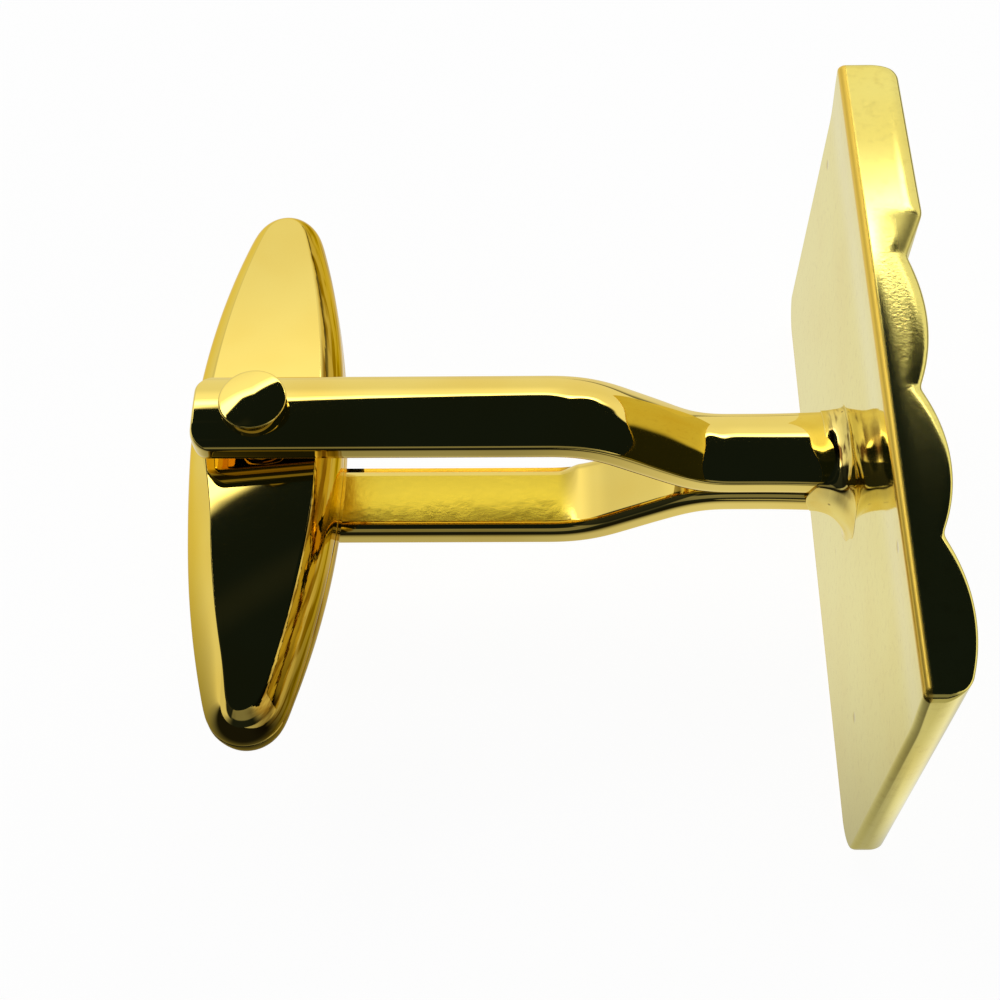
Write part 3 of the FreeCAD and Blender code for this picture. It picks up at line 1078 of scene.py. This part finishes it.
@dataclass
class Toggle:
    """Oval bar of two half shells that swings on the rivet, with angles in degrees."""

    pivot: float = PIVOT
    length: float = 15.84
    width: float = 3.93
    thickness: float = 3.0
    tip_thickness: float = 1.95
    tip_radius: float = 1.0
    ease: float = 0.22
    ease_samples: int = 2000
    facet_lean: float = 0.08
    facet_lean_end: float = -2.0
    facet_rows: int = 44
    edge_inset: float = 0.5
    edge_widening: float = 0.28
    edge_start: float = 33.0
    edge_end: float = 88.0
    edge_rows: int = 28
    edge_share: float = 0.86
    cuff_start: float = 38.0
    cuff_x: Pair = (0.2, 0.9)
    bevel_start: float = 47.0
    bevel_end: float = 68.0
    bevel_x: Pair = (0.0, 0.8)
    bevel_y: Pair = (-0.5, 2.5)
    # Drops at which the painted reflection of the cuff starts on the edge.
    cuff_reflection_drop: Pair = (0.015, 0.07)
    seam_break: float = 0.04
    bore: float = 1.4
    hollow_length: float = 11.04
    hollow_width: float = 2.34
    hollow_tip: float = 0.5
    hollow_height: float = 1.9

    @staticmethod
    def oval(length: float, width: float, tip: float, side_steps: int = 90,
             tip_steps: int = 46) -> np.ndarray:
        """Closed oval of two long arcs and two tip arcs.

        Args:
            length: size along Y.
            width: size along X.
            tip: radius of the tips.
            side_steps: points on each long arc.
            tip_steps: points on each tip arc.

        Returns:
            Points (x, y), counter-clockwise from the lower right.
        """
        half_length, half_width = length / 2, width / 2
        tip_y = half_length - tip
        side = (tip_y ** 2 + half_width ** 2 - tip ** 2) / (2 * (half_width - tip))
        reach = side - half_width
        turn = math.atan2(tip_y, reach)
        right = np.linspace(-turn, turn, side_steps, endpoint=False)
        top = np.linspace(turn, math.pi - turn, tip_steps, endpoint=False)
        first = np.concatenate([np.stack([side * np.cos(right) - reach, side * np.sin(right)], axis=1),
                                np.stack([tip * np.cos(top), tip_y + tip * np.sin(top)], axis=1)])
        return np.concatenate([first, -first])

    def inset(self, amount: float) -> np.ndarray:
        """Outer oval moved in by an amount, with its arcs eased into each other.

        Args:
            amount: distance in from the outline.

        Returns:
            Points (x, y), as many as the oval has.
        """
        ring = self.oval(self.length - 2 * amount, self.width - 2 * amount, self.tip_radius - amount)
        closed = np.concatenate([ring, ring[:1]])
        travel = np.concatenate([[0.0], np.cumsum(np.linalg.norm(np.diff(closed, axis=0), axis=1))])
        count, total = self.ease_samples, travel[-1]
        even = np.arange(count) * total / count
        wave = np.fft.rfftfreq(count, total / count)
        soft = np.exp(-2.0 * (math.pi * self.ease * wave) ** 2)
        eased = np.empty_like(ring)
        for axis in (0, 1):
            smoothed = np.fft.irfft(np.fft.rfft(np.interp(even, travel, closed[:, axis])) * soft, count)
            eased[:, axis] = np.interp(travel[:-1], even, smoothed, period=total)
        return eased * ring.max(axis=0) / eased.max(axis=0)

    def crown(self, y: np.ndarray) -> np.ndarray:
        """Half thickness of the bar along its length."""
        sag = (self.thickness - self.tip_thickness) / 2
        return self.thickness / 2 - sag * (y / (self.length / 2)) ** 2

    def widened(self) -> np.ndarray:
        """Where the edge is a wide bevel: 1 on the far side of the cuff's lower half and 0 elsewhere."""
        x, y = self.inset(self.edge_inset).T
        return smooth(-y, *self.bevel_y) * smooth(-x, *self.bevel_x)

    def cuffward(self) -> np.ndarray:
        """Which points of the outline face the cuff: 1 there and 0 elsewhere."""
        return smooth(self.inset(0.0)[:, 0], *self.cuff_x)

    def flank(self) -> np.ndarray:
        """Outline of the facet, moved in where the edge is wide."""
        ring = self.inset(self.edge_inset)
        ring[:, 0] += self.edge_widening * self.widened()
        return ring

    def lean(self, ring: np.ndarray) -> np.ndarray:
        """Rise of the facet across the bar: polishing left it lower on the cuff's far side."""
        return self.facet_lean * ring[:, 0] * smooth(ring[:, 1], -self.length / 2, self.facet_lean_end)

    def edge_profile(self) -> list[tuple[np.ndarray, np.ndarray]]:
        """Edge of the shell from the facet outward.

        Returns:
            For each ring, its place from the outline (0) to the facet (1) and its drop below the facet.
        """
        wide = self.widened()
        inset = self.edge_inset + self.edge_widening * wide
        start = self.edge_start + (self.bevel_start - self.edge_start) * wide
        start = np.radians(start + (self.cuff_start - self.edge_start) * self.cuffward())
        end = np.radians(self.edge_end + (self.bevel_end - self.edge_end) * wide)
        radius = inset / (np.sin(end) - np.sin(start))
        angles = [start + (end - start) * share for share in np.linspace(0.0, 1.0, self.edge_rows)]
        return [(1.0 - radius * (np.sin(angle) - np.sin(start)) / inset,
                 radius * (np.cos(start) - np.cos(angle))) for angle in angles]

    def shell(self, name: str, side: int) -> bpy.types.Object:
        """Half of the toggle.

        Args:
            name: name of the piece.
            side: 1 for the upper half, -1 for the lower one.

        Returns:
            The shell, hollow and bored for the rivet.
        """
        outer, flank = self.inset(0.0), self.flank()
        angle = np.arctan2(outer[:, 1] / self.length, outer[:, 0] / self.width)
        bore = np.stack([np.cos(angle), np.sin(angle)], axis=1) * self.bore / 2
        profile = self.edge_profile()
        # The edge and wall that face the cuff carry a painted reflection of the cuff in streaks.
        cuff_reflection = self.cuffward()
        seam, ceiling = np.zeros(len(outer)), np.full(len(outer), self.hollow_height / 2)
        facet_shares = [*np.linspace(0.0, 0.97, self.facet_rows), 0.985, 0.994]
        wall_shares = (0.1, 0.3, 0.55, 0.8, 1.0)
        rows, grain = [], []

        def add(ring: np.ndarray, level: np.ndarray, share: Any) -> None:
            """Add a ring of points at a height, with its share of the painted reflection streaks."""
            rows.append(np.stack([ring[:, 0] - self.pivot, ring[:, 1], side * level], axis=1))
            grain.append(cuff_reflection * share)

        for share in facet_shares:
            ring = bore * (1 - share) + flank * share
            add(ring, self.crown(ring[:, 1]) + self.lean(ring), 0.0)
        depth = profile[-1][1]
        for place, drop in profile:
            ring = outer + (flank - outer) * place[:, None]
            level = self.crown(ring[:, 1])
            fit = np.minimum(1.0, self.edge_share * level / depth)
            level = level + self.lean(ring) * (1.0 - drop / depth) - drop * fit
            add(ring, level, smooth(drop, *self.cuff_reflection_drop))
        low = side * rows[-1][:, 2]
        for share in wall_shares:
            add(outer, low + (self.seam_break - low) * share, 1.0)
        add(self.inset(self.seam_break), seam, 1.0)
        hollow = self.oval(self.hollow_length, self.hollow_width, self.hollow_tip)
        for ring, level in ((hollow, seam), (hollow, ceiling), (bore, ceiling)):
            add(ring, level, 0.0)
        piece = loft(name, np.array(rows), ring=True, grain=np.array(grain))
        weld(piece)
        return piece

    def build(self, material: bpy.types.Material) -> None:
        """Make and dress both shells.

        Args:
            material: finish of the toggle.
        """
        shells = (("shell_upper", "toggle_shell_upper", 1), ("shell_lower", "toggle_shell_lower", -1))
        for name, node, side in shells:
            dress(self.shell(name, side), node, TOGGLE_BODY, material)


@dataclass
class Spring:
    """Leaf spring inside the toggle, which keeps the frame's own shape."""

    node: str = "detent_spring"

    def build(self, material: bpy.types.Material) -> None:
        """Dress the spring.

        Args:
            material: finish of the spring.
        """
        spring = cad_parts[self.node]
        spring.data.materials.clear()
        spring.data.materials.append(material)
        LOG.info("%s keeps its own shape", self.node)


@dataclass
class PhotoCamera:
    """Camera at the photo's viewing angle."""

    place: Triple = (-8.0293, -22.2688, 35.6883)
    right: Triple = (0.99974947, 0.00789046, -0.02094608)
    up: Triple = (0.00387407, 0.86068109, 0.50912971)
    focal_pixels: float = 1608.38
    image_pixels: float = 1000.0
    sensor: float = 36.0
    nearest: float = 1.0
    farthest: float = 20000.0

    def build(self) -> None:
        """Set up the camera."""
        data = bpy.data.cameras.new("photo")
        data.sensor_width = self.sensor
        data.lens = self.focal_pixels / self.image_pixels * self.sensor
        data.clip_start = self.nearest * MM
        data.clip_end = self.farthest * MM
        eye = bpy.data.objects.new("photo", data)
        right, up = Vector(self.right), Vector(self.up)
        turn = Matrix((right, up, right.cross(up))).transposed().to_4x4()
        eye.matrix_world = Matrix.Translation(Vector(self.place) * MM) @ turn
        bpy.context.scene.collection.objects.link(eye)
        bpy.context.scene.camera = eye


@dataclass
class Tent:
    """White tent with dark openings, as the polished metal mirrors it.

    Heights are in degrees over the horizon. Round the horizon, sway is the share
    of a direction along X and ahead its share along Y, from -1 to 1.
    """

    white: float = 0.9
    dark: Colour = (0.0065, 0.0105, 0.0165)
    edge_height: float = 48.3
    edge_rise: float = 18.0
    edge_rise_end: float = 0.33
    edge_bends: tuple[tuple[float, Pair], ...] = (
        (1.9, (-0.05, 0.22)), (-14.0, (0.26, 0.74)), (-14.0, (0.66, 0.88)))
    edge_soft: float = 0.6
    roof_x: float = -0.33
    roof_y: float = 0.443
    roof_slope: float = 0.815
    roof_soft: float = 0.01
    front_dark: float = 0.994
    front_start: float = 0.2
    front_full: float = 0.9
    front_delay: float = 0.35
    front_delay_height: Pair = (0.0, 15.0)
    front_glow: float = 0.22
    front_glow_height: Pair = (15.0, 43.5)
    front_glow_soft: float = 1.5
    left_dim: float = 0.18
    left_sway: Pair = (0.25, 0.45)
    left_height: Pair = (22.0, 34.0)
    gap_dark: float = 0.985
    gap_sway: Pair = (0.5, 0.65)
    gap_height: Pair = (9.0, 12.0)
    gap_ahead: Pair = (0.5, 0.56)
    rim_glow: float = 0.3
    rim_loss: float = 0.2
    rim_loss_sway: Pair = (0.0, 0.25)
    rim_under: Pair = (3.0, 20.0)
    flare: float = 2.2
    flare_gain: float = 2.5
    flare_gain_sway: Pair = (0.2, 0.3)
    flare_end_sway: Pair = (0.55, 0.75)
    flare_ahead: Pair = (-0.2, 0.3)
    flare_under: Pair = (0.6, 4.0)
    sheen: float = 0.016
    sheen_height: Pair = (65.5, 66.5)
    sheen_soft: float = 3.0
    sheen_sway: Pair = (0.45, 0.6)
    flat_least: float = 1e-4

    def edge(self, sway: Field) -> Field:
        """Height of the tent's upper edge round the horizon."""
        leftward = (-sway).math("MAXIMUM", 0.0).math("MINIMUM", self.edge_rise_end)
        edge = self.edge_height + self.edge_rise * leftward
        for amount, bend in self.edge_bends:
            edge = edge + amount * sway.step(*bend)
        return edge

    def roof(self, x: Field, y: Field, under: Field) -> Field:
        """How dark the opening over the tent's edge is."""
        side = (x - self.roof_x - self.roof_slope * (y - self.roof_y)).step(-self.roof_soft, self.roof_soft)
        return (1.0 - under.step(-self.edge_soft, self.edge_soft)) * side

    def front(self, height: Field, ahead: Field) -> Field:
        """How dark the camera's side is."""
        start = self.front_start + self.front_delay * height.step(*self.front_delay_height)
        glow = self.front_glow * height.within(*self.front_glow_height, self.front_glow_soft)
        return (-ahead).step(start, self.front_full) * (self.front_dark - glow)

    def gap(self, height: Field, sway: Field, ahead: Field) -> Field:
        """How dark the gap at the far left is."""
        side = self.gap_dark * (-sway).step(*self.gap_sway) * height.step(*self.gap_height)
        return side * (1.0 - ahead.step(*self.gap_ahead))

    def rim(self, under: Field, sway: Field, ahead: Field) -> Field:
        """Extra light just under the tent's edge."""
        flare = self.flare + self.flare_gain * sway.step(*self.flare_gain_sway)
        flare = flare * (1.0 - sway.step(*self.flare_end_sway)) * ahead.step(*self.flare_ahead)
        rim = self.rim_glow - self.rim_loss * sway.step(*self.rim_loss_sway)
        return rim * (1.0 - under.step(*self.rim_under)) + flare * (1.0 - under.step(*self.flare_under))

    def light(self, x: Field, y: Field, z: Field) -> Field:
        """Brightness of the tent.

        Args:
            x: share of a direction along X.
            y: share along Y.
            z: share along Z.

        Returns:
            The brightness in that direction.
        """
        height = z.math("ARCSINE") * math.degrees(1.0)
        flat = (x * x + y * y).math("SQRT").math("MAXIMUM", self.flat_least)
        sway, ahead = x / flat, y / flat
        under = self.edge(sway) - height
        left = self.left_dim * (-sway).step(*self.left_sway) * (1.0 - height.step(*self.left_height))
        light = self.white + self.rim(under, sway, ahead)
        shades = (self.roof(x, y, under), self.front(height, ahead), left, self.gap(height, sway, ahead))
        for shade in shades:
            light = light * (1.0 - shade)
        sheen = self.sheen * height.within(*self.sheen_height, self.sheen_soft)
        return light + sheen * (-sway).step(*self.sheen_sway)

    def build(self) -> None:
        """Light the scene with the tent, and show plain white behind the object."""
        world = bpy.data.worlds.new("tent")
        bpy.context.scene.world = world
        world.use_nodes = True
        world.node_tree.nodes.clear()
        board = Board(world.node_tree)
        light = self.light(*board.axes(board.node("ShaderNodeTexCoord", output="Generated")))
        colour = board.mix(light, opaque(self.dark), WHITE)
        seen = board.node("ShaderNodeLightPath", None, None, "Is Camera Ray")
        strength = light.math("MAXIMUM", 1.0)
        glow = board.node("ShaderNodeBackground", None, {"Color": colour, "Strength": strength})
        plain = board.node("ShaderNodeBackground", None, {"Color": WHITE, "Strength": 1.0})
        mix = board.node("ShaderNodeMixShader", None, {0: seen, 1: glow, 2: plain})
        board.node("ShaderNodeOutputWorld", None, {"Surface": mix})


@dataclass
class Floor:
    """Pale floor that the object lies on, which the metal mirrors with painted shade towards the camera
    and under the arms and toggle, and with a painted patch of light beside the plate's lower end.
    """

    level: float = -5.25
    reach: float = 400.0
    paint: Colour = (0.9, 0.9, 0.9)
    seen_light: float = 1.12
    seen_share: float = 0.85
    mirrored_least: float = 0.01
    # Painted shade in what the metal mirrors: darker towards the camera, under the arms and toggle, and far
    # past the plate's front.
    painted_floor_light: float = 0.82
    painted_shade_y: Pair = (-13.0, 5.0)
    painted_shadow_shift: float = 6.0
    painted_shadow_x: Pair = (-9.0, -2.0)
    painted_right_shade_share: float = 0.75
    painted_right_shade_x: Pair = (8.0, 40.0)
    # Painted patch of light beside the plate's lower end, as the metal mirrors the floor.
    painted_plate_light: float = 0.43
    painted_plate_light_x: Pair = (0.5, 2.5)
    painted_plate_light_y: Pair = (-9.0, -6.0)

    def mirrored(self, x: Field, y: Field) -> Field:
        """Painted brightness of the floor in the metal, at a place on it: painted shade towards the
        camera, under the arms and toggle and far past the plate's front, and a painted patch of light
        beside the plate's lower end.
        """
        inward = y + self.painted_shadow_shift * x.step(*self.painted_shadow_x)
        light = self.painted_floor_light * inward.step(*self.painted_shade_y)
        light = self.mirrored_least + light * (1.0 - self.painted_right_shade_share * x.step(*self.painted_right_shade_x))
        return light + self.painted_plate_light * x.step(*self.painted_plate_light_x) * (1.0 - y.step(*self.painted_plate_light_y))

    def build(self) -> None:
        """Lay the floor under the object."""
        corners = [(-1.0, -1.0), (1.0, -1.0), (1.0, 1.0), (-1.0, 1.0)]
        points = np.array([(x * self.reach, y * self.reach, self.level) for x, y in corners])
        floor = mesh_object("floor", points, [(0, 1, 2, 3)])
        material, board = new_material("floor_white")
        seen = board.node("ShaderNodeLightPath", None, None, "Is Camera Ray")
        mirrored = seen.sibling("Is Glossy Ray")
        x, y, _ = board.axes(board.place())
        matte = board.node("ShaderNodeBsdfDiffuse", None, {"Color": opaque(self.paint)})
        # Glossy rays see only the floor's painted light and shade.
        strength = seen * self.seen_light + mirrored * self.mirrored(x, y)
        glow = board.node("ShaderNodeEmission", None, {"Color": WHITE, "Strength": strength})
        share = seen * self.seen_share + mirrored
        mix = board.node("ShaderNodeMixShader", None, {0: share, 1: matte, 2: glow})
        board.node("ShaderNodeOutputMaterial", None, {"Surface": mix})
        floor.data.materials.append(material)


FACE_GOLD = GoldFinish(
    colour=(0.87, 0.745, 0.20), deep=(0.83, 0.66, 0.13), roughness=0.05, roughness_spread=0.03,
    wave_scale=0.35, grain_roughness=0.09, mottle_share=0.16, edge_colour=(0.88, 0.60, 0.09),
    edge_roughness=0.25, pit_scale=0.5, pit_depth=0.006, tint=(1.0, 1.0, 0.88))
LEAF_GOLD = GoldFinish(
    colour=(0.90, 0.70, 0.17), deep=(0.86, 0.61, 0.11), grain_scale=(2.5, 2.5, 2.5), grain_depth=0.012,
    grain_roughness=0.24, grain_and_reflection_colour=(0.76, 0.56, 0.05))
# The toggle's grain colour and stain streaks are a painted reflection of the cuff, on the edge that faces
# it.
TOGGLE_GOLD = GoldFinish(
    colour=(0.90, 0.70, 0.17), deep=(0.86, 0.61, 0.11), stain_and_reflection=(0.24, 0.11, 0.005), stain_and_reflection_share=0.9,
    grain_scale=(1.5, 0.3, 6.0), grain_depth=0.006, grain_and_reflection_colour=(0.64, 0.42, 0.06),
    tint=(0.95, 0.78, 0.35))
SOLDER_GOLD = GoldFinish(
    colour=(0.87, 0.70, 0.20), deep=(0.80, 0.55, 0.10), stain_and_reflection=(0.11, 0.05, 0.01), stain_and_reflection_share=1.7,
    roughness=0.04, roughness_spread=0.05, wave_scale=1.5, wave_depth=0.004,
    grain_scale=(6.0, 0.9, 0.9), grain_depth=0.004, pit_scale=1.8, pit_depth=0.004, tint=(1.0, 0.97, 0.7))
SPRING_STEEL = SteelFinish(colour=(0.55, 0.56, 0.58), roughness=0.2)


def main() -> None:
    """Build and dress every piece, then the studio."""
    logging.basicConfig(level=logging.INFO, format="%(name)s: %(message)s")
    FacePlate().build(FACE_GOLD.material("plate_look"))
    Fork().build(LEAF_GOLD.material("fork_look"), SOLDER_GOLD.material("solder_look"))
    Toggle().build(TOGGLE_GOLD.material("toggle_look"))
    Spring().build(SPRING_STEEL.material("spring_steel_look"))
    for stage in (PhotoCamera(), Tent(), Floor()):
        stage.build()
    bpy.context.scene.view_settings.view_transform = "Standard"


if __name__ == "__main__":
    main()
